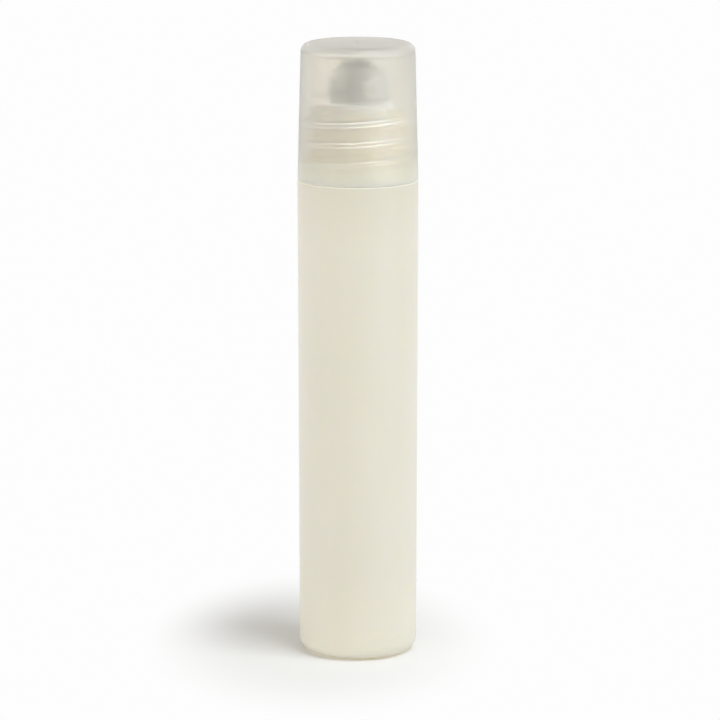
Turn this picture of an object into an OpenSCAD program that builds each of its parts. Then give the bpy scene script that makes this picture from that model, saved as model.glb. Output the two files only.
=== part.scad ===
// Slim roll-on bottle with a screw cap, all sizes in millimetres.
// The origin is the centre of the base on the surface it stands on, and +Z runs up the axis.
// The front of the bottle faces -Y.

/* [Body] */
// Outside diameter at the shoulder
body_d = 20; // [17:0.1:26]
// Height of the flat shoulder above the surface that the bottle stands on
body_h = 79.8; // [50:0.1:110]
// How much narrower the outside is at the base than at the shoulder
body_taper = 0.38; // [0.1:0.02:0.8]
// Thickness of the side wall
wall = 1; // [0.8:0.05:1.3]
// Thickness of the floor
floor_t = 1.2; // [0.8:0.1:2]
// Thickness of the shoulder
shoulder_t = 1.1; // [0.8:0.1:1.6]
// Radius of the outer corner at the base
base_corner_r = 2.3; // [1.6:0.1:3]
// Radius of the inner corner at the base
base_inner_r = 1.4; // [0.8:0.1:1.8]
// Radius of the inner corner under the shoulder
shoulder_inner_r = 0.8; // [0.4:0.1:1]
// Radius of the shoulder's outer edge
shoulder_edge_r = 0.4; // [0.2:0.05:0.8]
// Width of the ring that the bottle stands on
foot_w = 0.8; // [0.5:0.1:1.5]
// How far the middle of the base is pushed up above that ring
push_up = 0.5; // [0.2:0.1:0.8]
// How far the push-up's side slopes inwards
push_slope = 0.9; // [0.5:0.1:1.5]

/* [Neck] */
// Height of the neck above the shoulder
neck_h = 12.7; // [10:0.1:16]
// Wall of the neck between its threads
neck_wall = 1.35; // [1.1:0.05:1.6]
// Radius of the fillet where the neck meets the shoulder
neck_root_r = 0.4; // [0.2:0.05:0.6]
// Chamfer on the outer edge of the neck's mouth
neck_chamfer = 0.25; // [0.1:0.05:0.4]

/* [Thread] */
// Rise of the thread in one turn
pitch = 3.3; // [2.8:0.1:3.8]
// Height of a ridge above the wall that carries it
ridge_h = 0.75; // [0.5:0.05:0.8]
// Width of a ridge at its foot
ridge_w = 1.15; // [0.9:0.05:1.2]
// Width of a ridge at its crest
ridge_crest_w = 0.45; // [0.3:0.05:0.6]
// Height of the neck ridge's lower end above the shoulder
thread_start = 3.65; // [3:0.05:4.5]
// Distance from the neck ridge's upper end to the neck's mouth
thread_end = 0.7; // [0.65:0.05:1.5]
// Direction of the ridge's lower end, in degrees from +X
thread_from_deg = 160; // [0:5:355]
// Turn over which a ridge rises out of its wall at each end, in degrees
thread_fade_deg = 30; // [10:5:60]
// Flat faces in one turn of a ridge
thread_steps = 60; // [36:12:72]

/* [Stop lugs] */
// Number of small wedges on the shoulder that stop the cap from backing off
lug_count = 2; // [1:1:4]
// Direction of the first wedge, in degrees from +X
lug_from_deg = -78; // [-180:1:180]
// Width of a wedge at its foot
lug_w = 0.8; // [0.5:0.1:1.2]
// Height of a wedge
lug_h = 0.9; // [0.5:0.1:1.2]
// How far a wedge stands out from the neck
lug_out = 0.65; // [0.4:0.05:0.7]

/* [Ball and housing] */
// Diameter of the ball
ball_d = 8.5; // [8:0.1:9]
// Running clearance between the ball and its socket
ball_gap = 0.08; // [0.05:0.01:0.1]
// Wall of the turret beside the ball
turret_wall = 0.67; // [0.5:0.01:0.9]
// Height of the turret above its flange
turret_h = 4.15; // [3.6:0.05:4.6]
// Height of the turret's rim above the ball's centre, which holds the ball in
lip_h = 1.25; // [1:0.05:1.6]
// Radius of the turret's upper outer edge
turret_edge_r = 0.35; // [0.2:0.05:0.45]
// Radius of the fillet at the turret's foot
turret_root_r = 0.4; // [0.2:0.05:0.6]
// Thickness of the flange that rests on the neck
flange_t = 0.8; // [0.6:0.1:1.2]
// How far the flange stays inside the neck's outside wall
flange_inset = 0.1; // [0:0.05:0.3]
// Radius of the flange's upper edge
flange_edge_r = 0.25; // [0.1:0.05:0.35]
// Length of the plug below the flange
plug_h = 6; // [4:0.5:9]
// Wall of the plug
plug_wall = 1.05; // [0.8:0.05:1.2]
// Clearance between the plug's wall and the neck's bore
plug_gap = 0.15; // [0.1:0.01:0.25]
// Clearance between the plug's sealing beads and the neck's bore
bead_gap = 0.03; // [0.02:0.01:0.05]
// Radius of a sealing bead's section
bead_r = 0.4; // [0.3:0.05:0.5]
// Where the two sealing beads lie, as shares of the plug's length from its lower end
bead_shares = [0.33, 0.67]; // [0.15:0.01:0.85]
// Chamfer on the plug's lower edge
plug_chamfer = 0.4; // [0.2:0.05:0.6]
// Thickness of the cup under the ball
cup_t = 0.9; // [0.7:0.05:1.1]
// Diameter of the hole that feeds the ball
feed_d = 5.2; // [4:0.1:5.6]

/* [Cap] */
// How much narrower the cap's outside is at its top than at its mouth
cap_taper = 1.16; // [0.8:0.02:1.3]
// Radius of the cap's upper outer edge
cap_corner_r = 1.4; // [0.8:0.05:1.8]
// Thickness of the cap's top
cap_top_t = 1.2; // [0.9:0.05:1.6]
// Wall of the cap at its mouth
cap_mouth_wall = 1.35; // [1.2:0.05:1.6]
// Wall of the cap above its thread
cap_wall = 1.2; // [1:0.05:1.3]
// Radius of the inner corner at the cap's ceiling
cap_inner_r = 0.6; // [0.3:0.05:0.9]
// Radius of the mouth's outer edge
cap_edge_r = 0.3; // [0.15:0.05:0.5]
// Chamfer at the mouth's inner edge
mouth_chamfer = 0.3; // [0.1:0.05:0.4]
// Gap between the cap's mouth and the shoulder
mouth_gap = 0.25; // [0.15:0.05:0.5]
// Clearance between a ridge's crest and the wall that it faces
crest_gap = 0.25; // [0.2:0.05:0.3]
// Clearance between the two ridges' flanks when the cap is closed
flank_gap = 0.3; // [0.15:0.05:0.35]
// Diameter of the round gate mark in the cap's top
gate_d = 1.6; // [1:0.1:2.5]
// Depth of the gate mark
gate_depth = 0.12; // [0.05:0.01:0.3]
// Diameter of the gate's nub in the middle of its mark
nub_d = 0.6; // [0.4:0.1:0.9]

/* [Seal pad] */
// Diameter of the pad
pad_d = 9.2; // [7:0.1:10]
// Thickness of the pad
pad_t = 0.7; // [0.5:0.05:1.5]
// Chamfer on the pad's lower edge
pad_chamfer = 0.15; // [0.05:0.05:0.2]
// Clearance between the pad and the ball
pad_ball_gap = 0.25; // [0.15:0.05:0.4]
// Clearance between the pad and the ring that holds it
pad_ring_gap = 0.15; // [0.1:0.05:0.3]
// Thickness of the ring that holds the pad
ring_t = 0.6; // [0.4:0.05:0.9]
// How far that ring reaches down from the ceiling
ring_h = 0.5; // [0.3:0.05:0.6]

/* [Hidden] */
$fn = 96;

// Reach of every cut past the face that it opens
overrun = 1;
// Depth to which a ridge or a lug is sunk in its wall
sink = 0.3;

// Radii and heights of the body
body_r = body_d / 2;
base_r = (body_d - body_taper) / 2;
shoulder_z = body_h;
shoulder_low = shoulder_z - shoulder_t;
floor_z = push_up + floor_t;
foot_r = base_r - base_corner_r - foot_w;

// Radii and heights of the neck, which fits in the cap's bore
cap_bore_r = body_r - cap_mouth_wall;
neck_r = cap_bore_r - crest_gap - ridge_h;
bore_r = neck_r - neck_wall;
neck_top = shoulder_z + neck_h;

// Heights and radii of the housing, and the ball's centre
flange_top = neck_top + flange_t;
rim_z = flange_top + turret_h;
ball_r = ball_d / 2;
ball_z = rim_z - lip_h;
socket_r = ball_r + ball_gap;
turret_r = socket_r + turret_wall;
flange_r = neck_r - flange_inset;
plug_r = bore_r - plug_gap;
plug_low = neck_top - plug_h;
plug_hollow_r = plug_r - plug_wall;

// Heights and radii of the cap and the pad
pad_r = pad_d / 2;
pad_low = ball_z + ball_r + pad_ball_gap;
ceiling_z = pad_low + pad_t;
cap_top = ceiling_z + cap_top_t;
cap_low = shoulder_z + mouth_gap;
cap_top_r = body_r - cap_taper / 2;
cap_upper_r = cap_top_r - cap_wall;
ring_r = pad_r + pad_ring_gap;

// Length of both ridges, and the drop from the neck's ridge to the cap's
thread_turns = (neck_h - thread_start - thread_end) / pitch;
flank_slope = (ridge_w - ridge_crest_w) / (2 * ridge_h);
ridge_drop = ridge_w - flank_slope * (ridge_h + crest_gap) + flank_gap;

bottle_color = [0.9, 0.885, 0.82];
housing_color = [0.84, 0.83, 0.79];
ball_color = [0.72, 0.72, 0.71];
pad_color = [0.94, 0.93, 0.9];
cap_color = [0.85, 0.83, 0.79];

// What a convex corner loses when it is rounded: the corner is at the origin, and the solid lies to
// the left of it and below it
module outer_round(r) {
    translate([-r, -r])
        difference() {
            square([r + overrun, r + overrun]);
            circle(r);
        }
}

// What a concave corner gains when it is rounded: the corner is at the origin, and the free space
// lies to the right of it and above it
module inner_round(r) {
    difference() {
        square([r, r]);
        translate([r, r]) circle(r);
    }
}

// One ridge of a thread, wound upwards and anticlockwise, as [distance out, height] sections that
// are turned round the axis. out is 1 on an outside wall and -1 on an inside wall.
module ridge(wall_r, low_z, out) {
    rings = ceil(thread_turns * thread_steps);
    step_deg = 360 * thread_turns / rings;
    points = [
        for (i = [0:rings])
            let (
                turned = i * step_deg,
                to_end = min(turned, rings * step_deg - turned),
                rise = min(1, to_end / thread_fade_deg),
                crest = rise * (ridge_h + sink / 2) - sink / 2,
                z = low_z + pitch * turned / 360,
                section = [
                    [-sink, -half_width(-sink)],
                    [crest, -half_width(crest)],
                    [crest, half_width(crest)],
                    [-sink, half_width(-sink)]
                ]
            )
            for (p = section)
                let (a = thread_from_deg + turned, r = wall_r + out * p[0])
                [r * cos(a), r * sin(a), z + out * p[1]]
    ];
    sides = [
        for (i = [0:rings - 1], j = [0:3])
            let (k = (j + 1) % 4, a = 4 * i + j, b = 4 * i + k)
            for (f = [[a, b, b + 4], [a, b + 4, a + 4]]) f
    ];
    last = 4 * rings;
    ends = [[2, 1, 0], [3, 2, 0], [last, last + 1, last + 2], [last, last + 2, last + 3]];
    polyhedron(points, concat(sides, ends));
}

// Half the width of a ridge at a height above its wall
function half_width(h) = ridge_w / 2 - flank_slope * h;

// Half sections, drawn to the right of the axis

module bottle_skin() {
    difference() {
        polygon([
            [0, 0],
            [base_r, 0],
            [base_r, base_corner_r],
            [body_r, shoulder_z - shoulder_edge_r],
            [body_r, shoulder_z],
            [0, shoulder_z]
        ]);
        translate([base_r, 0]) mirror([0, 1]) outer_round(base_corner_r);
        translate([body_r, shoulder_z]) outer_round(shoulder_edge_r);
    }
    translate([0, shoulder_low])
        polygon([
            [0, 0],
            [neck_r, 0],
            [neck_r, shoulder_t + neck_h - neck_chamfer],
            [neck_r - neck_chamfer, shoulder_t + neck_h],
            [0, shoulder_t + neck_h]
        ]);
    translate([neck_r, shoulder_z]) inner_round(neck_root_r);
}

module bottle_inside() {
    difference() {
        polygon([
            [0, floor_z],
            [base_r - wall, floor_z],
            [base_r - wall, floor_z + base_inner_r],
            [body_r - wall, shoulder_low - shoulder_inner_r],
            [body_r - wall, shoulder_low],
            [0, shoulder_low]
        ]);
        translate([base_r - wall, floor_z]) mirror([0, 1]) outer_round(base_inner_r);
        translate([body_r - wall, shoulder_low]) outer_round(shoulder_inner_r);
    }
    translate([0, shoulder_low - overrun])
        square([bore_r, overrun + shoulder_t + neck_h + overrun]);
}

module bottle() {
    color(bottle_color) {
        union() {
            rotate_extrude()
                difference() {
                    bottle_skin();
                    bottle_inside();
                    polygon([
                        [0, -overrun],
                        [foot_r, -overrun],
                        [foot_r, 0],
                        [foot_r - push_slope, push_up],
                        [0, push_up]
                    ]);
                }
            ridge(neck_r, shoulder_z + thread_start, 1);
            for (i = [0:lug_count - 1])
                rotate(lug_from_deg + i * 360 / lug_count)
                    translate([neck_r - sink, 0, shoulder_z])
                        stop_lug();
        }
    }
}

// A small wedge with its point up, sunk in the neck and in the shoulder
module stop_lug() {
    rotate([90, 0, 90])
        linear_extrude(sink + lug_out)
            polygon([
                [-lug_w / 2, -sink],
                [lug_w / 2, -sink],
                [lug_w / 2, 0],
                [0, lug_h],
                [-lug_w / 2, 0]
            ]);
}

module housing_skin() {
    polygon([
        [0, plug_low],
        [plug_r - plug_chamfer, plug_low],
        [plug_r, plug_low + plug_chamfer],
        [plug_r, neck_top],
        [0, neck_top]
    ]);
    for (share = bead_shares)
        translate([bore_r - bead_gap - bead_r, plug_low + plug_h * share]) circle(bead_r);
    difference() {
        translate([0, neck_top]) square([flange_r, flange_t]);
        translate([flange_r, flange_top]) outer_round(flange_edge_r);
    }
    difference() {
        translate([0, neck_top]) square([turret_r, rim_z - neck_top]);
        translate([turret_r, rim_z]) outer_round(turret_edge_r);
    }
    translate([turret_r, flange_top]) inner_round(turret_root_r);
}

module ball_housing() {
    color(housing_color)
        rotate_extrude()
            difference() {
                housing_skin();
                translate([0, ball_z]) circle(socket_r);
                translate([0, plug_low - overrun]) square([feed_d / 2, overrun + ball_z - plug_low]);
                difference() {
                    translate([0, plug_low - overrun]) square([plug_hollow_r, overrun + plug_h]);
                    translate([0, ball_z]) circle(socket_r + cup_t);
                }
            }
}

module roller_ball() {
    color(ball_color) translate([0, 0, ball_z]) sphere(ball_r);
}

module seal_pad() {
    color(pad_color)
        translate([0, 0, pad_low]) {
            cylinder(pad_chamfer, pad_r - pad_chamfer, pad_r);
            translate([0, 0, pad_chamfer]) cylinder(pad_t - pad_chamfer, pad_r, pad_r);
        }
}

module cap_skin() {
    difference() {
        polygon([
            [0, cap_low],
            [body_r, cap_low],
            [body_r, cap_low + cap_edge_r],
            [cap_top_r, cap_top - cap_corner_r],
            [cap_top_r, cap_top],
            [0, cap_top]
        ]);
        translate([cap_top_r, cap_top]) outer_round(cap_corner_r);
        translate([body_r, cap_low]) mirror([0, 1]) outer_round(cap_edge_r);
        translate([0, cap_top - gate_depth]) square([gate_d / 2, gate_depth + overrun]);
    }
    translate([0, cap_top - gate_depth - overrun / 2]) square([nub_d / 2, gate_depth + overrun / 2]);
}

module cap_inside() {
    difference() {
        polygon([
            [0, cap_low - overrun],
            [cap_bore_r + mouth_chamfer, cap_low - overrun],
            [cap_bore_r + mouth_chamfer, cap_low],
            [cap_bore_r, cap_low + mouth_chamfer],
            [cap_bore_r, neck_top],
            [cap_upper_r, neck_top + cap_bore_r - cap_upper_r],
            [cap_upper_r, ceiling_z],
            [0, ceiling_z]
        ]);
        translate([cap_upper_r, ceiling_z]) outer_round(cap_inner_r);
        translate([ring_r, ceiling_z - ring_h]) square([ring_t, ring_h + overrun]);
    }
}

module cap() {
    color(cap_color) {
        union() {
            rotate_extrude()
                difference() {
                    cap_skin();
                    cap_inside();
                }
            ridge(cap_bore_r, shoulder_z + thread_start - ridge_drop, -1);
        }
    }
}

bottle();
ball_housing();
roller_ball();
seal_pad();
cap();
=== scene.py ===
"""Looks of a slim roll-on bottle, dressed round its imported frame.

Sizes are in millimetres until a mesh is made, and the front of the bottle faces -Y.
"""

import math

import bmesh
import bpy
from mathutils import Matrix, Vector

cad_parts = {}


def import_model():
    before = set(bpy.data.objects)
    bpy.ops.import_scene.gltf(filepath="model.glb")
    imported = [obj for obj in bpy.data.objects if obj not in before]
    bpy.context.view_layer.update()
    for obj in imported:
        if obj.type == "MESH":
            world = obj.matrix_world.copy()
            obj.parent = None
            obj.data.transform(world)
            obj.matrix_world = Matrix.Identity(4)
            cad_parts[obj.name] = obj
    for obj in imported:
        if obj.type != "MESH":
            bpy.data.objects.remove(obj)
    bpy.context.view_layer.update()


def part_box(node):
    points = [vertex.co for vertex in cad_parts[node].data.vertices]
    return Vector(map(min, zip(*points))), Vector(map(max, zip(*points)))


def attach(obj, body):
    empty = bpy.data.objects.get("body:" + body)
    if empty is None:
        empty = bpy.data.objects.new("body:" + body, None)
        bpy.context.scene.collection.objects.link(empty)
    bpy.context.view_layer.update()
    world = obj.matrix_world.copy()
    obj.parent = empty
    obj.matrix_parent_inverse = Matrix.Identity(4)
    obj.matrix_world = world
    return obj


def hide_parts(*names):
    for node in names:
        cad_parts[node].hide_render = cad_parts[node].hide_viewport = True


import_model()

MM = 0.001

# Fineness of the meshes: steps of round shapes, and how far from a corner an outline is supported,
# in millimetres
SEGMENTS = 144
TURN_STEP = math.radians(12)
THREAD_TURN_STEP = math.radians(20)
FEWEST_STEPS = 3
BEAD_STEPS = 6
SOCKET_STEPS = 24
CUP_STEPS = 6
SUPPORT_REACH = 0.12
THREAD_SUPPORT_REACH = 0.05

# Radius in millimetres that counts as the axis, and distance in metres at which vertices are merged
AXIS_R = 1e-6
MERGE_DISTANCE = 1e-7


# Sizes that the frame gives


def frame_box(node):
    """Lowest and highest corner of a CAD node, in millimetres."""
    low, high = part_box(node)
    return low / MM, high / MM


bottle_high = frame_box("bottle")[1]
housing_low, housing_high = frame_box("ball_housing")
ball_low, ball_high = frame_box("roller_ball")
pad_low, pad_high = frame_box("seal_pad")
cap_low, cap_high = frame_box("cap")

body_r = bottle_high.x
neck_top = bottle_high.z
plug_low = housing_low.z
rim_z = housing_high.z
flange_r = housing_high.x
ball_r = ball_high.x
ball_z = (ball_low.z + ball_high.z) / 2
pad_r = pad_high.x

# Sizes of the body
body_taper = 0.38
wall = 1
floor_t = 1.2
shoulder_t = 1.1
base_corner_r = 2.3
base_inner_r = 1.4
shoulder_inner_r = 0.8
shoulder_edge_r = 0.14
foot_w = 0.8
push_up = 0.5
push_slope = 0.9
push_edge_r = 0.3
foot_edge_r = 0.15

# Sizes of the neck and its thread
neck_h = 12.7
neck_wall = 1.35
neck_root_r = 0.4
neck_chamfer = 0.25
pitch = 3.3
ridge_h = 0.75
ridge_w = 1.15
ridge_crest_w = 0.45
ridge_round = 0.14
thread_start = 3.65
thread_end = 0.7
thread_from_deg = 160
thread_fade_deg = 30

# Sizes of the stop lugs on the shoulder
lug_count = 2
lug_from_deg = -78
lug_w = 0.8
lug_h = 0.9
lug_out = 0.65
lug_sink = 0.3

# Sizes of the ball housing
ball_gap = 0.08
turret_wall = 0.67
turret_edge_r = 0.35
turret_root_r = 0.4
flange_t = 0.8
flange_edge_r = 0.25
plug_wall = 1.05
plug_gap = 0.15
bead_gap = 0.03
bead_r = 0.4
bead_shares = (0.33, 0.67)
plug_chamfer = 0.4
cup_t = 0.9
feed_r = 2.6

# Sizes of the cap, of the pad and of the ring that holds the pad
cap_taper = 1.16
cap_corner_r = 1.4
cap_mouth_wall = 1.35
cap_wall = 1.2
cap_inner_r = 0.9
upper_step_h = 2.6
upper_step_r = 2
cap_edge_r = 0.12
mouth_chamfer = 0.3
crest_gap = 0.25
flank_gap = 0.3
gate_r = 0.8
gate_depth = 0.1
gate_slope = 0.25
nub_r = 0.3
ring_t = 0.6
ring_h = 0.5
pad_ring_gap = 0.15
pad_edge_r = 0.15

# Radius that breaks an edge which the mould leaves sharp
edge_break = 0.08

# Thin film of air where two flat faces lie on each other
face_gap = 0.01

# Gap that shows between the shoulder and the closed cap
seat_gap = 0.04

# Values worked out from the sizes above
base_r = body_r - body_taper / 2
shoulder_z = neck_top - neck_h
shoulder_low = shoulder_z - shoulder_t
seat_z = cap_low.z - seat_gap
floor_z = push_up + floor_t
foot_r = base_r - base_corner_r - foot_w
cap_bore_r = body_r - cap_mouth_wall
neck_r = cap_bore_r - crest_gap - ridge_h
bore_r = neck_r - neck_wall
flange_top = neck_top + flange_t
socket_r = ball_r + ball_gap
turret_r = socket_r + turret_wall
plug_r = bore_r - plug_gap
plug_hollow_r = plug_r - plug_wall
cap_top_r = body_r - cap_taper / 2
cap_upper_r = cap_top_r - cap_wall
ceiling_z = pad_high.z
ring_r = pad_r + pad_ring_gap
thread_turns = (neck_h - thread_start - thread_end) / pitch
flank_slope = (ridge_w - ridge_crest_w) / (2 * ridge_h)
ridge_drop = ridge_w - flank_slope * (ridge_h + crest_gap) + flank_gap


# Outlines and meshes


def rounded(corners, turn_step=TURN_STEP):
    """An outline of (r, z) points, from corners that are (r, z) or (r, z, radius of the rounded corner)."""
    points = []
    for i, corner in enumerate(corners):
        here = Vector(corner[:2])
        if len(corner) == 2:
            points.append(here)
            continue
        back = (Vector(corners[i - 1][:2]) - here).normalized()
        on = (Vector(corners[i + 1][:2]) - here).normalized()
        half = back.angle(on) / 2
        centre = here + (back + on).normalized() * corner[2] / math.sin(half)
        first = here + back * corner[2] / math.tan(half) - centre
        turn = first.angle_signed(here + on * corner[2] / math.tan(half) - centre)
        steps = max(FEWEST_STEPS, math.ceil(abs(turn) / turn_step))
        for k in range(steps + 1):
            points.append(centre + Matrix.Rotation(-turn * k / steps, 2) @ first)
    return points


def arc(centre, radius, from_deg, to_deg, steps):
    """Points of an arc, with angles in degrees from the +r direction."""
    angles = [math.radians(from_deg + (to_deg - from_deg) * k / steps) for k in range(steps + 1)]
    return [(centre[0] + radius * math.cos(a), centre[1] + radius * math.sin(a)) for a in angles]


def supported(points, reach=SUPPORT_REACH):
    """The outline with an extra point near both ends of each long stretch, which keeps its shading flat."""
    kept = [Vector(points[0])]
    for here, after in zip(points, points[1:]):
        here, after = Vector(here), Vector(after)
        step = after - here
        if step.length > 4 * reach:
            kept += [here + step.normalized() * reach, after - step.normalized() * reach]
        kept.append(after)
    return kept


def turn_outline(bm, outline, skin=0):
    """Turns an outline round the axis into faces of one material slot."""
    rings = []
    for r, z in outline:
        if r < AXIS_R:
            rings.append([bm.verts.new((0, 0, z * MM))] * SEGMENTS)
            continue
        angles = [2 * math.pi * i / SEGMENTS for i in range(SEGMENTS)]
        rings.append([bm.verts.new((r * MM * math.cos(a), r * MM * math.sin(a), z * MM)) for a in angles])
    for low, high in zip(rings, rings[1:]):
        add_band(bm, low, high, skin)


def add_band(bm, low, high, skin, closed=True):
    """Faces between two rows of vertices."""
    count = len(low)
    for i in range(count if closed else count - 1):
        k = (i + 1) % count
        corners = []
        for v in (low[i], low[k], high[k], high[i]):
            if v not in corners:
                corners.append(v)
        if len(corners) > 2:
            bm.faces.new(corners).material_index = skin


def smooth_step(x):
    """Rises smoothly from 0 to 1 as x does."""
    x = min(1, max(0, x))
    return x * x * (3 - 2 * x)


def threaded_wall(bm, wall_r, low_z, high_z, ridge_z, out, skin=0):
    """A round wall that carries one helical ridge. Its rows of faces follow the helix.
    out is 1 for a ridge that stands outwards and -1 for one that stands inwards."""
    foot, crest = ridge_w / 2, ridge_crest_w / 2
    section = supported(rounded([
        (-pitch / 2, 0),
        (-foot, 0, ridge_round),
        (-crest, ridge_h, ridge_round),
        (crest, ridge_h, ridge_round),
        (foot, 0, ridge_round),
        (pitch / 2, 0),
    ], THREAD_TURN_STEP), THREAD_SUPPORT_REACH)[:-1]
    first = math.floor((low_z - ridge_z) / pitch) - 2
    last = math.ceil((high_z - ridge_z) / pitch) + 1
    rows = [(k, along, height) for k in range(first, last + 1) for along, height in section]
    columns = []
    for i in range(SEGMENTS + 1):
        share = i / SEGMENTS
        angle = math.radians(thread_from_deg) + 2 * math.pi * share
        column = []
        for k, along, height in rows:
            turned = 360 * (k + share)
            to_end = min(turned, 360 * thread_turns - turned)
            z = ridge_z + pitch * (k + share) + along
            inside = min(z - low_z, high_z - z)
            height *= smooth_step(to_end / thread_fade_deg) * smooth_step(inside / ridge_round)
            r = wall_r + out * height
            z = min(high_z, max(low_z, z))
            column.append(bm.verts.new((r * MM * math.cos(angle), r * MM * math.sin(angle), z * MM)))
        columns.append(column)
    for left, right in zip(columns, columns[1:]):
        add_band(bm, left, right, skin, closed=False)


def finish_mesh(bm, name):
    """Closes the mesh, turns its faces outwards and puts it in the scene."""
    bmesh.ops.remove_doubles(bm, verts=bm.verts, dist=MERGE_DISTANCE)
    bmesh.ops.dissolve_degenerate(bm, edges=bm.edges, dist=MERGE_DISTANCE)
    bmesh.ops.recalc_face_normals(bm, faces=bm.faces)
    for face in bm.faces:
        face.smooth = True
    mesh = bpy.data.meshes.new(name)
    bm.to_mesh(mesh)
    bm.free()
    piece = bpy.data.objects.new(name, mesh)
    bpy.context.scene.collection.objects.link(piece)
    return piece


def dress(piece, node, body, slot, *materials):
    """Puts a piece in the place of a CAD node, on that node's body, with its materials."""
    for material in materials:
        piece.data.materials.append(material)
    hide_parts(node)
    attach(piece, body)


# The pieces


def bottle():
    """The body with its neck and thread, as one closed shell."""
    bm = bmesh.new()
    wall_low = seat_z + neck_root_r
    wall_high = neck_top - neck_chamfer
    below = rounded([
        (0, push_up),
        (foot_r - push_slope, push_up, push_edge_r),
        (foot_r, 0, foot_edge_r),
        (base_r, 0, base_corner_r),
        (body_r, seat_z, shoulder_edge_r),
        (neck_r, seat_z, neck_root_r),
        (neck_r, wall_high),
    ])[:-1]
    turn_outline(bm, supported(below))
    threaded_wall(bm, neck_r, wall_low, wall_high, shoulder_z + thread_start, 1)
    above = rounded([
        (neck_r, wall_high),
        (neck_r - neck_chamfer, neck_top, edge_break),
        (bore_r, neck_top, edge_break),
        (bore_r, shoulder_low, edge_break),
        (body_r - wall, shoulder_low, shoulder_inner_r),
        (base_r - wall, floor_z, base_inner_r),
        (0, floor_z),
    ])
    turn_outline(bm, supported(above))
    return finish_mesh(bm, "bottle_shell")


def stop_lug(turned):
    """One wedge with its point up, sunk in the neck and in the shoulder."""
    bm = bmesh.new()
    side = lug_w / 2
    outline = [(-side, -lug_sink), (side, -lug_sink), (side, 0), (0, lug_h), (-side, 0)]
    near = [bm.verts.new((neck_r - lug_sink, y, shoulder_z + z)) for y, z in outline]
    far = [bm.verts.new((neck_r + lug_out, y, shoulder_z + z)) for y, z in outline]
    bm.faces.new(near)
    bm.faces.new(list(reversed(far)))
    add_band(bm, near, far, 0)
    bmesh.ops.recalc_face_normals(bm, faces=bm.faces)
    bmesh.ops.bevel(bm, geom=bm.edges[:], offset=edge_break, segments=2, affect="EDGES")
    for v in bm.verts:
        x, y = v.co.x, v.co.y
        v.co.x = x * math.cos(turned) - y * math.sin(turned)
        v.co.y = x * math.sin(turned) + y * math.cos(turned)
        v.co *= MM
    return bm


def add_lugs(shell):
    """Joins the stop lugs to the bottle's mesh."""
    for k in range(lug_count):
        bm = stop_lug(math.radians(lug_from_deg + 360 * k / lug_count))
        lug = finish_mesh(bm, "lug")
        union = shell.modifiers.new("lug", "BOOLEAN")
        union.object = lug
        union.solver = "EXACT"
        union.operation = "UNION"
        bpy.context.view_layer.objects.active = shell
        bpy.ops.object.modifier_apply(modifier=union.name)
        bpy.data.objects.remove(lug)


def ball_housing():
    """The plug with its beads, the flange, the turret, the ball's seat and the feed hole."""
    bm = bmesh.new()
    cup_r = socket_r + cup_t
    lip_deg = math.degrees(math.asin((rim_z - ball_z) / socket_r))
    feed_deg = -math.degrees(math.acos(feed_r / socket_r))
    cup_feed_deg = -math.degrees(math.acos(feed_r / cup_r))
    cup_top_deg = -math.degrees(math.asin((ball_z - neck_top) / cup_r))
    beads = []
    bead_x = bore_r - bead_gap - bead_r
    bead_deg = math.degrees(math.acos((plug_r - bead_x) / bead_r))
    for share in bead_shares:
        centre = (bead_x, plug_low + (neck_top - plug_low) * share)
        beads += arc(centre, bead_r, -bead_deg, bead_deg, BEAD_STEPS)
    outside = rounded([
        (plug_hollow_r, plug_low),
        (plug_r - plug_chamfer, plug_low, edge_break),
        (plug_r, plug_low + plug_chamfer, edge_break),
        *beads,
        (plug_r, neck_top + face_gap),
        (flange_r, neck_top + face_gap, edge_break),
        (flange_r, flange_top, flange_edge_r),
        (turret_r, flange_top, turret_root_r),
        (turret_r, rim_z, turret_edge_r),
        (socket_r * math.cos(math.radians(lip_deg)), rim_z),
    ])
    socket = arc((0, ball_z), socket_r, lip_deg, feed_deg, SOCKET_STEPS)
    cup = arc((0, ball_z), cup_r, cup_feed_deg, cup_top_deg, CUP_STEPS)
    hollow = [(plug_hollow_r, neck_top), (plug_hollow_r, plug_low)]
    turn_outline(bm, supported([*outside[:-1], *socket, *cup, *hollow]))
    return finish_mesh(bm, "housing_fitment")


def roller_ball():
    """The ball, turned from half a circle."""
    bm = bmesh.new()
    turn_outline(bm, arc((0, ball_z), ball_r, -90, 90, SEGMENTS // 2))
    return finish_mesh(bm, "steel_ball")


def seal_pad():
    """The disc of foam under the cap's ceiling."""
    bm = bmesh.new()
    outline = rounded([
        (0, pad_low.z),
        (pad_r, pad_low.z, pad_edge_r),
        (pad_r, pad_high.z - face_gap, edge_break),
        (0, pad_high.z - face_gap),
    ])
    turn_outline(bm, supported(outline))
    return finish_mesh(bm, "foam_pad")


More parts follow.
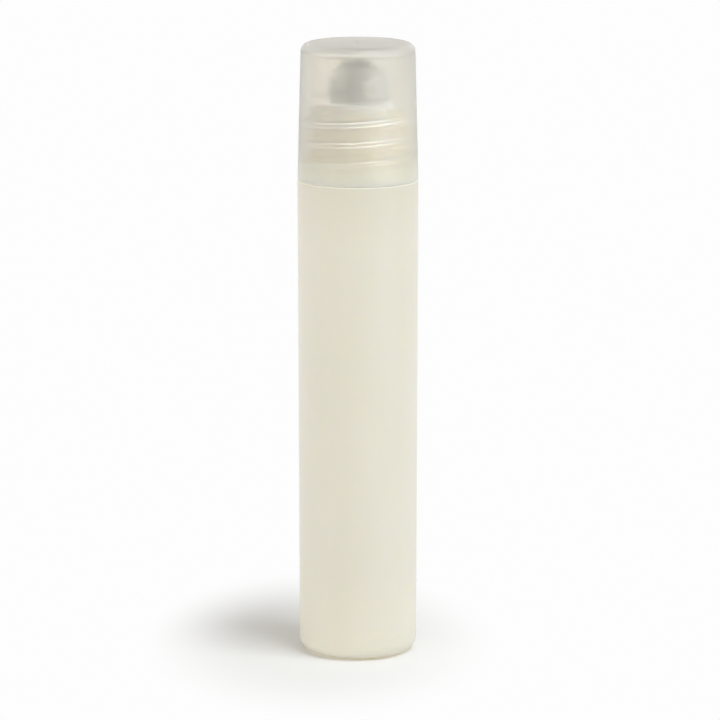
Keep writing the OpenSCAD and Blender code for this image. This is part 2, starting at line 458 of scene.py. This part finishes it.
def cap():
    """The cap with its inner thread and the pad's ring. Slot 0 is its outer face and slot 1 its inner."""
    bm = bmesh.new()
    top = cap_high.z
    low = cap_low.z
    wall_low = low + mouth_chamfer
    outside = rounded([
        (cap_bore_r + mouth_chamfer, low),
        (body_r, low, cap_edge_r),
        (cap_top_r, top, cap_corner_r),
        (gate_r + gate_slope, top, gate_slope),
        (gate_r, top - gate_depth, gate_depth),
        (nub_r + gate_slope / 2, top - gate_depth, gate_depth),
        (nub_r, top, gate_depth),
        (0, top),
    ])
    turn_outline(bm, supported(outside))
    turn_outline(bm, [(cap_bore_r + mouth_chamfer, low), (cap_bore_r, wall_low)], 1)
    threaded_wall(bm, cap_bore_r, wall_low, neck_top, shoulder_z + thread_start - ridge_drop, -1, 1)
    inside = rounded([
        (cap_bore_r, neck_top),
        (cap_upper_r, neck_top + upper_step_h, upper_step_r),
        (cap_upper_r, ceiling_z, cap_inner_r),
        (ring_r + ring_t, ceiling_z, edge_break),
        (ring_r + ring_t, ceiling_z - ring_h, edge_break),
        (ring_r, ceiling_z - ring_h, edge_break),
        (ring_r, ceiling_z, edge_break),
        (0, ceiling_z),
    ])
    turn_outline(bm, supported(inside), 1)
    return finish_mesh(bm, "screw_cap")


# Values of the materials


# Heights over which a look changes, each as (from, to) in millimetres
# The foot, base and neck zones hold painted light in the body's colour
foot_light_zone = (0.1, 0.7)
base_light_zone = (1, 15)
scatter_zone = (1, 4)
# Zone of the painted shade under the shoulder
shoulder_shade_zone = (seat_z - 10, seat_z - 0.5)
neck_light_zone = (seat_z - 0.25, seat_z - 0.05)
turret_zone = (flange_top, flange_top + turret_root_r)
rim_zone = (cap_low.z + 0.15, cap_low.z + 0.4)
mouth_zone = (cap_low.z, cap_low.z + 5)
# Zone of the painted warm light towards the cap's mouth
warm_light_zone = (cap_low.z + 2, neck_top - 1)
thread_zone = (neck_top - 2, neck_top)
corner_zone = (ceiling_z - 0.5, ceiling_z + 0.3)
disc_zone = (cap_high.z - 0.15, cap_high.z - 0.05)

# Colours. A pair is blended by the noise of its material.
BODY_COLOURS = ((0.755, 0.727, 0.623), (0.785, 0.757, 0.663))
# Painted shade: the body's colour a little darker under the shoulder
BODY_PAINTED_SHADE_COLOUR = (0.73, 0.7, 0.592)
# Painted light: the body's colour lighter at the neck, at the foot and towards the base
BODY_PAINTED_LIGHT_COLOUR = (0.91, 0.865, 0.74)
# Painted shade: the inner face of the same plastic darker than the outer
CAP_INSIDE_SHADED_COLOURS = ((0.88, 0.84, 0.75), (0.9, 0.86, 0.77))
CAP_OUTSIDE_COLOURS = ((0.905, 0.88, 0.805), (0.92, 0.895, 0.82))
# Painted light: the cap's colour warmer towards the mouth
CAP_MOUTH_WARM_LIGHT_COLOUR = (1, 0.915, 0.785)
# Painted shade: the cap's top disc darker
CAP_DISC_SHADE_COLOUR = (0.88, 0.84, 0.75)
HOUSING_COLOURS = ((0.93, 0.925, 0.89), (0.96, 0.955, 0.93))
# Painted shade: the steel darker than polished steel is
STEEL_SHADED_COLOURS = ((0.33, 0.33, 0.33), (0.39, 0.39, 0.385))
FOAM_COLOURS = ((0.8, 0.79, 0.76), (0.88, 0.87, 0.85))

# Share of the painted light colour that the body has where the base zone begins
BASE_LIGHT_SHARE = 0.38

# Lowest and highest roughness
BODY_ROUGHNESS = (0.36, 0.46)
CAP_INSIDE_ROUGHNESS = (0.05, 0.09)
CAP_OUTSIDE_ROUGHNESS = (0.29, 0.35)
HOUSING_ROUGHNESS = (0.08, 0.13)
STEEL_ROUGHNESS = (0.06, 0.12)
FOAM_ROUGHNESS = (0.6, 0.75)

# Scale of each noise, in grains for each metre
BODY_FLOW = 90
BODY_GRAIN = 9000
CAP_FLOW = 120
CAP_GRAIN = 11000
HOUSING_FLOW = 200
HOUSING_GRAIN = 3000
STEEL_GRAIN = 1500
FOAM_CELLS = 7000

# Detail of a noise: plain, of flow marks and of polish
PLAIN_DETAIL = 2
FLOW_DETAIL = 3
POLISH_DETAIL = 4

# Scale of the coordinates of flow marks, which draws the marks out along the axis
BODY_FLOW_SCALE = (1, 1, 0.25)
CAP_FLOW_SCALE = (1, 1, 0.3)

# Full depth of a bump, in millimetres
BODY_BUMP = 0.004
FOAM_BUMP = 0.03

# How clear the plastic is, from 0 for milky to 1
CLEAR_MOUTH = 0.3
CLEAR_THREADS = 0.66
CLEAR_WALL = 0.9
CLEAR_CORNER = 0.54
CLEAR_FLANGE = 0.1
CLEAR_TURRET = 0.85

# What the disc of the cap's top is clearer by than the corner round it
DISC_GAIN = 0.2

# How light bends at the plastic and travels in it, with the scales in millimetres
PLASTIC_IOR = 1.49
COAT_IOR = 1.8
COAT_ROUGHNESS = 0.06
MILKY_SCATTER = (1, 0.85, 0.6)
CLEAR_SCATTER = (1, 0.95, 0.85)
BASE_SCATTER_SCALE = 2.5
BODY_SCATTER_SCALE = 0.6
CAP_SCATTER_SCALE = 1.5
HOUSING_SCATTER_SCALE = 0.6


# Helpers of the materials


def new_material(name):
    """A material with its nodes, its links and its Principled shader."""
    material = bpy.data.materials.new(name)
    material.use_nodes = True
    nodes, links = material.node_tree.nodes, material.node_tree.links
    return material, nodes, links, nodes["Principled BSDF"]


def grain(nodes, links, scale, detail=PLAIN_DETAIL, stretch=(1, 1, 1)):
    """Noise in the piece's own coordinates, with its scale in grains for each metre."""
    coordinates = nodes.new("ShaderNodeTexCoord")
    mapping = nodes.new("ShaderNodeMapping")
    mapping.inputs["Scale"].default_value = stretch
    noise = nodes.new("ShaderNodeTexNoise")
    noise.inputs["Scale"].default_value = scale
    noise.inputs["Detail"].default_value = detail
    links.new(coordinates.outputs["Object"], mapping.inputs["Vector"])
    links.new(mapping.outputs["Vector"], noise.inputs["Vector"])
    return noise.outputs["Fac"]


def spread(nodes, links, source, low, high, from_low=0.3, from_high=0.7):
    """Maps a range of a value to low and high. The range is that of most noise unless it is given."""
    ranged = nodes.new("ShaderNodeMapRange")
    ranged.inputs["From Min"].default_value = from_low
    ranged.inputs["From Max"].default_value = from_high
    ranged.inputs["To Min"].default_value = low
    ranged.inputs["To Max"].default_value = high
    links.new(source, ranged.inputs["Value"])
    return ranged.outputs["Result"]


def ease(nodes, links, source, start, end):
    """Rises smoothly from 0 at start to 1 at end, or falls where end is below start."""
    eased = spread(nodes, links, source, 0, 1, start, end)
    eased.node.interpolation_type = "SMOOTHSTEP"
    return eased


def calculate(nodes, links, operation, first, second):
    """One sum on two inputs, each a socket or a number."""
    node = nodes.new("ShaderNodeMath")
    node.operation = operation
    for socket, value in zip(node.inputs, (first, second)):
        if isinstance(value, (int, float)):
            socket.default_value = value
        else:
            links.new(value, socket)
    return node.outputs["Value"]


def by_height(nodes, links, zone, low, high):
    """A value that goes from low to high over a zone of the piece's height, in millimetres."""
    coordinates = nodes.new("ShaderNodeTexCoord")
    split = nodes.new("ShaderNodeSeparateXYZ")
    links.new(coordinates.outputs["Object"], split.inputs["Vector"])
    return spread(nodes, links, split.outputs["Z"], low, high, zone[0] * MM, zone[1] * MM)


def blend_colours(nodes, links, share, first, second):
    """Mixes two colours, each given as numbers or as a socket."""
    mix = nodes.new("ShaderNodeMix")
    mix.data_type = "RGBA"
    for name, colour in (("A", first), ("B", second)):
        if isinstance(colour, tuple):
            mix.inputs[name].default_value = (*colour, 1)
        else:
            links.new(colour, mix.inputs[name])
    links.new(share, mix.inputs["Factor"])
    return mix.outputs["Result"]


def add_bump(nodes, links, shader, height, depth):
    """Bump from a height between 0 and 1, with its full depth in millimetres."""
    bump = nodes.new("ShaderNodeBump")
    bump.inputs["Strength"].default_value = 1
    bump.inputs["Distance"].default_value = depth * MM
    links.new(height, bump.inputs["Height"])
    links.new(bump.outputs["Normal"], shader.inputs["Normal"])


def scatter_light(shader, reach, scale):
    """Lets light travel under the surface, with the scale in millimetres."""
    shader.inputs["Subsurface Weight"].default_value = 1
    shader.inputs["Subsurface Radius"].default_value = reach
    shader.inputs["Subsurface Scale"].default_value = scale * MM


# Materials


def bottle_plastic():
    """Milky natural plastic with a fine matte texture and faint flow marks.
    Its colour holds painted shade, a little darker under the shoulder, and painted light, lighter at the
    neck and towards the foot. Light reaches deeper near the base."""
    material, nodes, links, shader = new_material("bottle_plastic")
    flow = spread(nodes, links, grain(nodes, links, BODY_FLOW, FLOW_DETAIL, BODY_FLOW_SCALE), 0, 1)
    colour = blend_colours(nodes, links, flow, *BODY_COLOURS)
    # Painted shade under the shoulder
    painted_shoulder_shade = by_height(nodes, links, shoulder_shade_zone, 0, 1)
    colour = blend_colours(nodes, links, painted_shoulder_shade, colour, BODY_PAINTED_SHADE_COLOUR)
    # Painted light towards the base
    painted_base_light = by_height(nodes, links, base_light_zone, BASE_LIGHT_SHARE, 0)
    colour = blend_colours(nodes, links, painted_base_light, colour, BODY_PAINTED_LIGHT_COLOUR)
    # Painted light at the neck and at the foot
    painted_neck_light = by_height(nodes, links, neck_light_zone, 0, 1)
    painted_foot_light = by_height(nodes, links, foot_light_zone, 1, 0)
    painted_end_light = calculate(nodes, links, "MAXIMUM", painted_neck_light, painted_foot_light)
    colour = blend_colours(nodes, links, painted_end_light, colour, BODY_PAINTED_LIGHT_COLOUR)
    links.new(colour, shader.inputs["Base Color"])
    matte = grain(nodes, links, BODY_GRAIN)
    links.new(spread(nodes, links, matte, *BODY_ROUGHNESS), shader.inputs["Roughness"])
    add_bump(nodes, links, shader, matte, BODY_BUMP)
    shader.inputs["IOR"].default_value = PLASTIC_IOR
    scatter_light(shader, MILKY_SCATTER, BODY_SCATTER_SCALE)
    scale = by_height(nodes, links, scatter_zone, BASE_SCATTER_SCALE * MM, BODY_SCATTER_SCALE * MM)
    links.new(scale, shader.inputs["Subsurface Scale"])
    return material


def cap_plastic(name, colours, roughness):
    """Clear plastic with faint flow marks, and the socket that gives its colour."""
    material, nodes, links, shader = new_material(name)
    flow = spread(nodes, links, grain(nodes, links, CAP_FLOW, FLOW_DETAIL, CAP_FLOW_SCALE), 0, 1)
    colour = blend_colours(nodes, links, flow, *colours)
    links.new(colour, shader.inputs["Base Color"])
    matte = grain(nodes, links, CAP_GRAIN)
    links.new(spread(nodes, links, matte, *roughness), shader.inputs["Roughness"])
    shader.inputs["IOR"].default_value = PLASTIC_IOR
    shader.inputs["Transmission Weight"].default_value = 1
    return material, colour


def cap_inside():
    """The cap's inner face, smooth from the core of the mould. Its colour is darker than the outer face's,
    as painted shade.
    """
    return cap_plastic("cap_inside", CAP_INSIDE_SHADED_COLOURS, CAP_INSIDE_ROUGHNESS)[0]


def cap_outside():
    """The cap's frosted outer face, milkier at the mouth and clearest round the ball. Painted warm light
    tints its colour towards the mouth, and painted shade darkens its top disc.
    """
    material, colour = cap_plastic("cap_outside", CAP_OUTSIDE_COLOURS, CAP_OUTSIDE_ROUGHNESS)
    nodes, links = material.node_tree.nodes, material.node_tree.links
    shader = nodes["Principled BSDF"]
    # Painted warm light towards the mouth
    painted_mouth_light = by_height(nodes, links, warm_light_zone, 1, 0)
    colour = blend_colours(nodes, links, painted_mouth_light, colour, CAP_MOUTH_WARM_LIGHT_COLOUR)
    # Painted shade on the top disc
    painted_disc_shade = by_height(nodes, links, disc_zone, 0, 1)
    colour = blend_colours(nodes, links, painted_disc_shade, colour, CAP_DISC_SHADE_COLOUR)
    links.new(colour, shader.inputs["Base Color"])
    scatter_light(shader, CLEAR_SCATTER, CAP_SCATTER_SCALE)
    corner = by_height(nodes, links, corner_zone, CLEAR_WALL, CLEAR_CORNER)
    disc = by_height(nodes, links, disc_zone, 0, DISC_GAIN)
    clear = calculate(nodes, links, "ADD", corner, disc)
    limits = (
        by_height(nodes, links, thread_zone, CLEAR_THREADS, CLEAR_WALL),
        by_height(nodes, links, mouth_zone, CLEAR_MOUTH, CLEAR_THREADS),
        by_height(nodes, links, rim_zone, 0, 1),
    )
    for limit in limits:
        clear = calculate(nodes, links, "MINIMUM", clear, limit)
    links.new(clear, shader.inputs["Transmission Weight"])
    return material


def housing_plastic():
    """Smooth plastic with a glossy skin, clear in the turret and milky below it."""
    material, nodes, links, shader = new_material("housing_plastic")
    flow = spread(nodes, links, grain(nodes, links, HOUSING_FLOW, FLOW_DETAIL), 0, 1)
    links.new(blend_colours(nodes, links, flow, *HOUSING_COLOURS), shader.inputs["Base Color"])
    smooth = grain(nodes, links, HOUSING_GRAIN)
    links.new(spread(nodes, links, smooth, *HOUSING_ROUGHNESS), shader.inputs["Roughness"])
    shader.inputs["IOR"].default_value = PLASTIC_IOR
    shader.inputs["Coat Weight"].default_value = 1
    shader.inputs["Coat IOR"].default_value = COAT_IOR
    shader.inputs["Coat Roughness"].default_value = COAT_ROUGHNESS
    clear = by_height(nodes, links, turret_zone, CLEAR_FLANGE, CLEAR_TURRET)
    links.new(clear, shader.inputs["Transmission Weight"])
    scatter_light(shader, CLEAR_SCATTER, HOUSING_SCATTER_SCALE)
    return material


def steel():
    """Polished steel with a faint unevenness, its colour darkened as painted shade."""
    material, nodes, links, shader = new_material("ball_steel")
    polish = grain(nodes, links, STEEL_GRAIN, POLISH_DETAIL)
    links.new(blend_colours(nodes, links, polish, *STEEL_SHADED_COLOURS), shader.inputs["Base Color"])
    links.new(spread(nodes, links, polish, *STEEL_ROUGHNESS), shader.inputs["Roughness"])
    shader.inputs["Metallic"].default_value = 1
    return material


def foam():
    """Fine closed-cell foam."""
    material, nodes, links, shader = new_material("pad_foam")
    coordinates = nodes.new("ShaderNodeTexCoord")
    cells = nodes.new("ShaderNodeTexVoronoi")
    cells.inputs["Scale"].default_value = FOAM_CELLS
    links.new(coordinates.outputs["Object"], cells.inputs["Vector"])
    height = cells.outputs["Distance"]
    links.new(blend_colours(nodes, links, height, *FOAM_COLOURS), shader.inputs["Base Color"])
    links.new(spread(nodes, links, height, *FOAM_ROUGHNESS), shader.inputs["Roughness"])
    add_bump(nodes, links, shader, height, FOAM_BUMP)
    return material


# Values of the stage


# Level of the backdrop where it is seen
WHITE = 0.985

# Light from all round: its colour, and its level at the horizon and overhead
FILL_COLOUR = (1, 0.98, 0.945, 1)
FILL_LOW = 0.95
FILL_HIGH = 0.35

# Soft lamps, with their sizes and their distance in metres, and their angles from the front
LAMP_DISTANCE = 0.9
KEY_ENERGY = 4.3
KEY_COLOUR = (0.9, 0.96, 1)
KEY_SIZE = (0.45, 0.45)
KEY_TURNED = math.radians(50)
KEY_RAISED = math.radians(62)
SIDE_ENERGY = 1.25
SIDE_COLOUR = FILL_COLOUR[:3]
SIDE_SIZE = (0.6, 0.5)
SIDE_TURNED = math.radians(-62)
SIDE_RAISED = math.radians(8)

# Floor. Its half width is in metres, and its fade to the backdrop in millimetres from the axis.
FLOOR_HALF = 3
FLOOR_COLOUR = (0.9, 0.893, 0.88, 1)
FADE_CENTRE = (-6.4, 4.6)
FADE_REACH = (31, 50)
FADE_START = 0.38

# Glow of the light that comes down through the base. It fades in between two distances from the
# edge of the base, in millimetres.
GLOW_LEVEL = 0.18
GLOW_COLOUR = (1, 0.92, 0.7, 1)
GLOW_FADE = (0.6, 1.8)

# Clear faces that a reflected ray has crossed on its way in and out, fewest and most: none for the
# outer faces, two for the inside of the cap's wall, and more for what stands behind the wall
MOST_CROSSINGS = 12
ANYWHERE = (0, MOST_CROSSINGS)
ON_OUTSIDE = (0, 0)
IN_WALL = (2, 2)
JUST_BEHIND = (3, 4)
BEHIND_WALL = (3, MOST_CROSSINGS)

# Sheets that only reflections show. A span is in degrees from the front, a profile holds distances
# from the axis and heights in metres, and edges are the shares of the span over which a sheet fades.
SHEET_COLUMNS = 16
CARD_SPAN = (-58, 26)
CARD_EDGES = (0.2, 0.2)
CARD_LEVEL = 0.06
UPPER_CARD = [(0.2, 0.09), (0.2, 0.24)]
TALL_CARD = [(0.03, 0.004), (0.2, 0.004), (0.2, 0.24)]
SOFTBOX_SPAN = (18, 78)
SOFTBOX_EDGES = (0.4, 0.3)
SOFTBOX_LEVEL = 2.7
SOFTBOX_INSIDE = 2.5
SOFTBOX_COLOUR = (0.85, 0.96, 1.2, 1)
SOFTBOX = [(0.5, 0.002), (0.5, 0.3)]
GLARE_SPAN = (18, 115)
GLARE_EDGES = (0.12, 0.4)
GLARE_LEVEL = 15
GLARE = [(0.2, 0.004), (0.49, 0.004), (0.49, 0.11)]
NECK_GLARE_LEVEL = 14
NECK_GLARE = [(0.33, 0.004), (0.455, 0.004)]
SURROUND_SPAN = (20, 310)
SURROUND_EDGES = (0.08, 0.08)
SURROUND_LEVEL = 1.7
SURROUND = [(0.49, 0.11), (0.49, 0.9)]
STRIP_SPAN = (-50, 84)
STRIP_EDGES = (0.3, 0.45)
STRIP_LEVEL = 5
STRIP = [(0.19, 0.08), (0.19, 0.16)]

# Camera, with its distance and its aim in millimetres, and the range that it sees in metres
CAMERA_DISTANCE = 697
CAMERA_ELEVATION = math.radians(11.26)
CAMERA_LENS = 209
CAMERA_RANGE = (0.01, 20)
AIM = Vector((0.333, 0, 49.43))


# The stage


def seen_directly(nodes, links):
    """1 for rays of the camera and for rays that a gloss or a clear piece sends on, 0 for the rest."""
    path = nodes.new("ShaderNodeLightPath")
    total = path.outputs["Is Camera Ray"]
    for name in ("Is Glossy Ray", "Is Transmission Ray"):
        total = calculate(nodes, links, "MAXIMUM", total, path.outputs[name])
    return total


def reflected(nodes, links, crossings):
    """1 for rays that a gloss has sent back, if they crossed so many clear faces, and 0 for the rest."""
    path = nodes.new("ShaderNodeLightPath")
    shown = calculate(nodes, links, "MINIMUM", path.outputs["Glossy Depth"], 1)
    crossed = path.outputs["Transmission Depth"]
    fewest, most = crossings
    for operation, limit in (("GREATER_THAN", fewest - 0.5), ("LESS_THAN", most + 0.5)):
        within = calculate(nodes, links, operation, crossed, limit)
        shown = calculate(nodes, links, "MULTIPLY", shown, within)
    return shown


def world():
    """White where it is seen. The light that it gives is warmer, and weaker from above than from the
    sides."""
    made = bpy.data.worlds.new("studio")
    bpy.context.scene.world = made
    made.use_nodes = True
    nodes, links = made.node_tree.nodes, made.node_tree.links
    direction = nodes.new("ShaderNodeTexCoord")
    split = nodes.new("ShaderNodeSeparateXYZ")
    links.new(direction.outputs["Generated"], split.inputs["Vector"])
    fill = nodes.new("ShaderNodeBackground")
    fill.inputs["Color"].default_value = FILL_COLOUR
    links.new(spread(nodes, links, split.outputs["Z"], FILL_LOW, FILL_HIGH, 0, 1), fill.inputs["Strength"])
    backdrop = nodes["Background"]
    backdrop.inputs["Color"].default_value = (1, 1, 1, 1)
    backdrop.inputs["Strength"].default_value = WHITE
    mix = nodes.new("ShaderNodeMixShader")
    links.new(seen_directly(nodes, links), mix.inputs["Fac"])
    links.new(fill.outputs["Background"], mix.inputs[1])
    links.new(backdrop.outputs["Background"], mix.inputs[2])
    links.new(mix.outputs["Shader"], nodes["World Output"].inputs["Surface"])


def stage_sheet(name, rows):
    """A sheet of the stage, from rows of corners."""
    width = len(rows[0])
    corners = [corner for row in rows for corner in row]
    faces = []
    for k in range(len(rows) - 1):
        for i in range(width - 1):
            first = k * width + i
            faces.append((first, first + 1, first + 1 + width, first + width))
    mesh = bpy.data.meshes.new(name)
    mesh.from_pydata(corners, [], faces)
    made = bpy.data.objects.new(name, mesh)
    bpy.context.scene.collection.objects.link(made)
    return made


def length_of(nodes, links, vector):
    """The length of a vector."""
    length = nodes.new("ShaderNodeVectorMath")
    length.operation = "LENGTH"
    links.new(vector, length.inputs[0])
    return length.outputs["Value"]


def light_through_base(nodes, links, shader, place):
    """A faint warm glow of the floor under the base, which the floor's underside doesn't have."""
    start, end = (base_r - GLOW_FADE[0]) * MM, (base_r - GLOW_FADE[1]) * MM
    glow = ease(nodes, links, length_of(nodes, links, place), start, end)
    side = nodes.new("ShaderNodeNewGeometry")
    glow = calculate(nodes, links, "SUBTRACT", glow, side.outputs["Backfacing"])
    glow = calculate(nodes, links, "MAXIMUM", glow, 0)
    links.new(calculate(nodes, links, "MULTIPLY", glow, GLOW_LEVEL), shader.inputs["Emission Strength"])
    shader.inputs["Emission Color"].default_value = GLOW_COLOUR


def floor():
    """Pale floor that keeps the shadow near the bottle and fades to the white of the backdrop round it."""
    ends = (-FLOOR_HALF, FLOOR_HALF)
    plane = stage_sheet("floor", [[(x, y, 0) for x in ends] for y in ends])
    material, nodes, links, shader = new_material("floor_paper")
    plane.data.materials.append(material)
    shader.inputs["Base Color"].default_value = FLOOR_COLOUR
    shader.inputs["Roughness"].default_value = 1
    shader.inputs["Specular IOR Level"].default_value = 0
    coordinates = nodes.new("ShaderNodeTexCoord")
    light_through_base(nodes, links, shader, coordinates.outputs["Object"])
    mapping = nodes.new("ShaderNodeMapping")
    mapping.vector_type = "TEXTURE"
    mapping.inputs["Location"].default_value = (FADE_CENTRE[0] * MM, FADE_CENTRE[1] * MM, 0)
    mapping.inputs["Scale"].default_value = (FADE_REACH[0] * MM, FADE_REACH[1] * MM, 1)
    links.new(coordinates.outputs["Object"], mapping.inputs["Vector"])
    from_centre = length_of(nodes, links, mapping.outputs["Vector"])
    backdrop = nodes.new("ShaderNodeEmission")
    backdrop.inputs["Strength"].default_value = WHITE
    mix = nodes.new("ShaderNodeMixShader")
    links.new(ease(nodes, links, from_centre, FADE_START, 1), mix.inputs["Fac"])
    links.new(shader.outputs["BSDF"], mix.inputs[1])
    links.new(backdrop.outputs["Emission"], mix.inputs[2])
    links.new(mix.outputs["Shader"], nodes["Material Output"].inputs["Surface"])


def round_axis(turned, distance, height):
    """A point of the stage in metres, turned in degrees from the front towards +X."""
    return (math.sin(math.radians(turned)) * distance, -math.cos(math.radians(turned)) * distance, height)


def curved_sheet(name, span, profile):
    """A sheet of the stage, curved round the axis, with a material of its own and a map from 0 at its
    left to 1 at its right."""
    angles = [span[0] + (span[1] - span[0]) * i / SHEET_COLUMNS for i in range(SHEET_COLUMNS + 1)]
    made = stage_sheet(name, [[round_axis(turned, *place) for turned in angles] for place in profile])
    layer = made.data.uv_layers.new(name="across")
    for loop in made.data.loops:
        layer.data[loop.index].uv = (loop.vertex_index % (SHEET_COLUMNS + 1) / SHEET_COLUMNS, 0)
    material, nodes, links, shader = new_material(name)
    nodes.remove(shader)
    made.data.materials.append(material)
    return made, material, nodes, links


def reflected_sheet(name, span, edges, level, profile, crossings, inside=0, colour=(1, 1, 1, 1)):
    """A sheet that only reflections show, where the ray crossed so many clear faces.
    Where inside isn't 0, the sheet also lights what stands behind clear plastic, at that many times its
    level."""
    made, material, nodes, links = curved_sheet(name, span, profile)
    coordinates = nodes.new("ShaderNodeTexCoord")
    split = nodes.new("ShaderNodeSeparateXYZ")
    links.new(coordinates.outputs["UV"], split.inputs["Vector"])
    left = ease(nodes, links, split.outputs["X"], 0, edges[0])
    right = ease(nodes, links, split.outputs["X"], 1, 1 - edges[1])
    seen = reflected(nodes, links, crossings)
    glow = nodes.new("ShaderNodeEmission")
    glow.inputs["Color"].default_value = colour
    glow.inputs["Strength"].default_value = level
    if inside:
        path = nodes.new("ShaderNodeLightPath")
        bounced = calculate(nodes, links, "MINIMUM", path.outputs["Diffuse Depth"], 1)
        seen = calculate(nodes, links, "MAXIMUM", seen, bounced)
        gain = calculate(nodes, links, "MULTIPLY", bounced, inside)
        gain = calculate(nodes, links, "MAXIMUM", gain, 1)
        links.new(calculate(nodes, links, "MULTIPLY", gain, level), glow.inputs["Strength"])
    shown = calculate(nodes, links, "MULTIPLY", calculate(nodes, links, "MULTIPLY", left, right), seen)
    clear = nodes.new("ShaderNodeBsdfTransparent")
    mix = nodes.new("ShaderNodeMixShader")
    links.new(shown, mix.inputs["Fac"])
    links.new(clear.outputs["BSDF"], mix.inputs[1])
    links.new(glow.outputs["Emission"], mix.inputs[2])
    links.new(mix.outputs["Shader"], nodes["Material Output"].inputs["Surface"])
    material.cycles.emission_sampling = "NONE"
    made.visible_camera = False
    made.visible_diffuse = False
    made.visible_shadow = False


def dark_cards():
    """The unlit side of the studio, round the camera. One card is for the outer faces, and one is for
    what stands behind the cap's wall."""
    reflected_sheet("upper_card", CARD_SPAN, CARD_EDGES, CARD_LEVEL, UPPER_CARD, ON_OUTSIDE)
    reflected_sheet("tall_card", CARD_SPAN, CARD_EDGES, CARD_LEVEL, TALL_CARD, BEHIND_WALL)


def softbox():
    """The tall softbox that the outer faces mirror. It also lights what stands behind the cap's wall."""
    look = (SOFTBOX_INSIDE, SOFTBOX_COLOUR)
    reflected_sheet("softbox", SOFTBOX_SPAN, SOFTBOX_EDGES, SOFTBOX_LEVEL, SOFTBOX, ON_OUTSIDE, *look)


def glare():
    """The floor that a lamp brightens, as what stands behind the cap's wall mirrors it, and the inside
    of the wall."""
    reflected_sheet("glare", GLARE_SPAN, GLARE_EDGES, GLARE_LEVEL, GLARE, JUST_BEHIND)
    reflected_sheet("neck_glare", GLARE_SPAN, GLARE_EDGES, NECK_GLARE_LEVEL, NECK_GLARE, IN_WALL)


def surround():
    """The lit sides of the studio, as what stands behind the cap's wall mirrors them."""
    reflected_sheet("surround", SURROUND_SPAN, SURROUND_EDGES, SURROUND_LEVEL, SURROUND, BEHIND_WALL)


def strip_light():
    """The low light that the thread inside the cap's wall mirrors."""
    reflected_sheet("strip_light", STRIP_SPAN, STRIP_EDGES, STRIP_LEVEL, STRIP, IN_WALL)


def soft_lamp(name, turned, raised, size, energy, colour):
    """A large soft lamp aimed at the bottle. It lights things, and reflections don't show it."""
    lamp = bpy.data.lights.new(name, "AREA")
    lamp.shape = "RECTANGLE"
    lamp.size, lamp.size_y = size
    lamp.energy = energy
    lamp.color = colour
    lamp.use_nodes = True
    nodes, links = lamp.node_tree.nodes, lamp.node_tree.links
    shown = calculate(nodes, links, "SUBTRACT", 1, reflected(nodes, links, ANYWHERE))
    links.new(shown, nodes["Emission"].inputs["Strength"])
    made = bpy.data.objects.new(name, lamp)
    bpy.context.scene.collection.objects.link(made)
    way = Vector(round_axis(0, math.cos(raised), math.sin(raised)))
    way.rotate(Matrix.Rotation(turned, 3, "Z"))
    made.location = way * LAMP_DISTANCE + Vector((0, 0, AIM.z * MM))
    made.rotation_euler = way.to_track_quat("Z", "Y").to_euler()


def camera():
    """The camera of the photo, which looks at the aim from the front."""
    lens = bpy.data.cameras.new("camera")
    lens.lens = CAMERA_LENS
    lens.clip_start, lens.clip_end = CAMERA_RANGE
    made = bpy.data.objects.new("camera", lens)
    bpy.context.scene.collection.objects.link(made)
    back = Vector((0, -math.cos(CAMERA_ELEVATION), math.sin(CAMERA_ELEVATION)))
    made.location = (AIM + back * CAMERA_DISTANCE) * MM
    made.rotation_euler = back.to_track_quat("Z", "Y").to_euler()
    bpy.context.scene.camera = made


# The scene


bpy.context.scene.view_settings.view_transform = "Standard"
camera()
shell = bottle()
add_lugs(shell)
dress(shell, "bottle", "bottle", "bottle_plastic", bottle_plastic())
dress(ball_housing(), "ball_housing", "bottle", "housing_plastic", housing_plastic())
dress(roller_ball(), "roller_ball", "ball", "steel", steel())
dress(seal_pad(), "seal_pad", "pad", "foam", foam())
dress(cap(), "cap", "cap", "cap_plastic", cap_outside(), cap_inside())
world()
floor()
dark_cards()
softbox()
glare()
surround()
strip_light()
soft_lamp("key", KEY_TURNED, KEY_RAISED, KEY_SIZE, KEY_ENERGY, KEY_COLOUR)
soft_lamp("side", SIDE_TURNED, SIDE_RAISED, SIDE_SIZE, SIDE_ENERGY, SIDE_COLOUR)
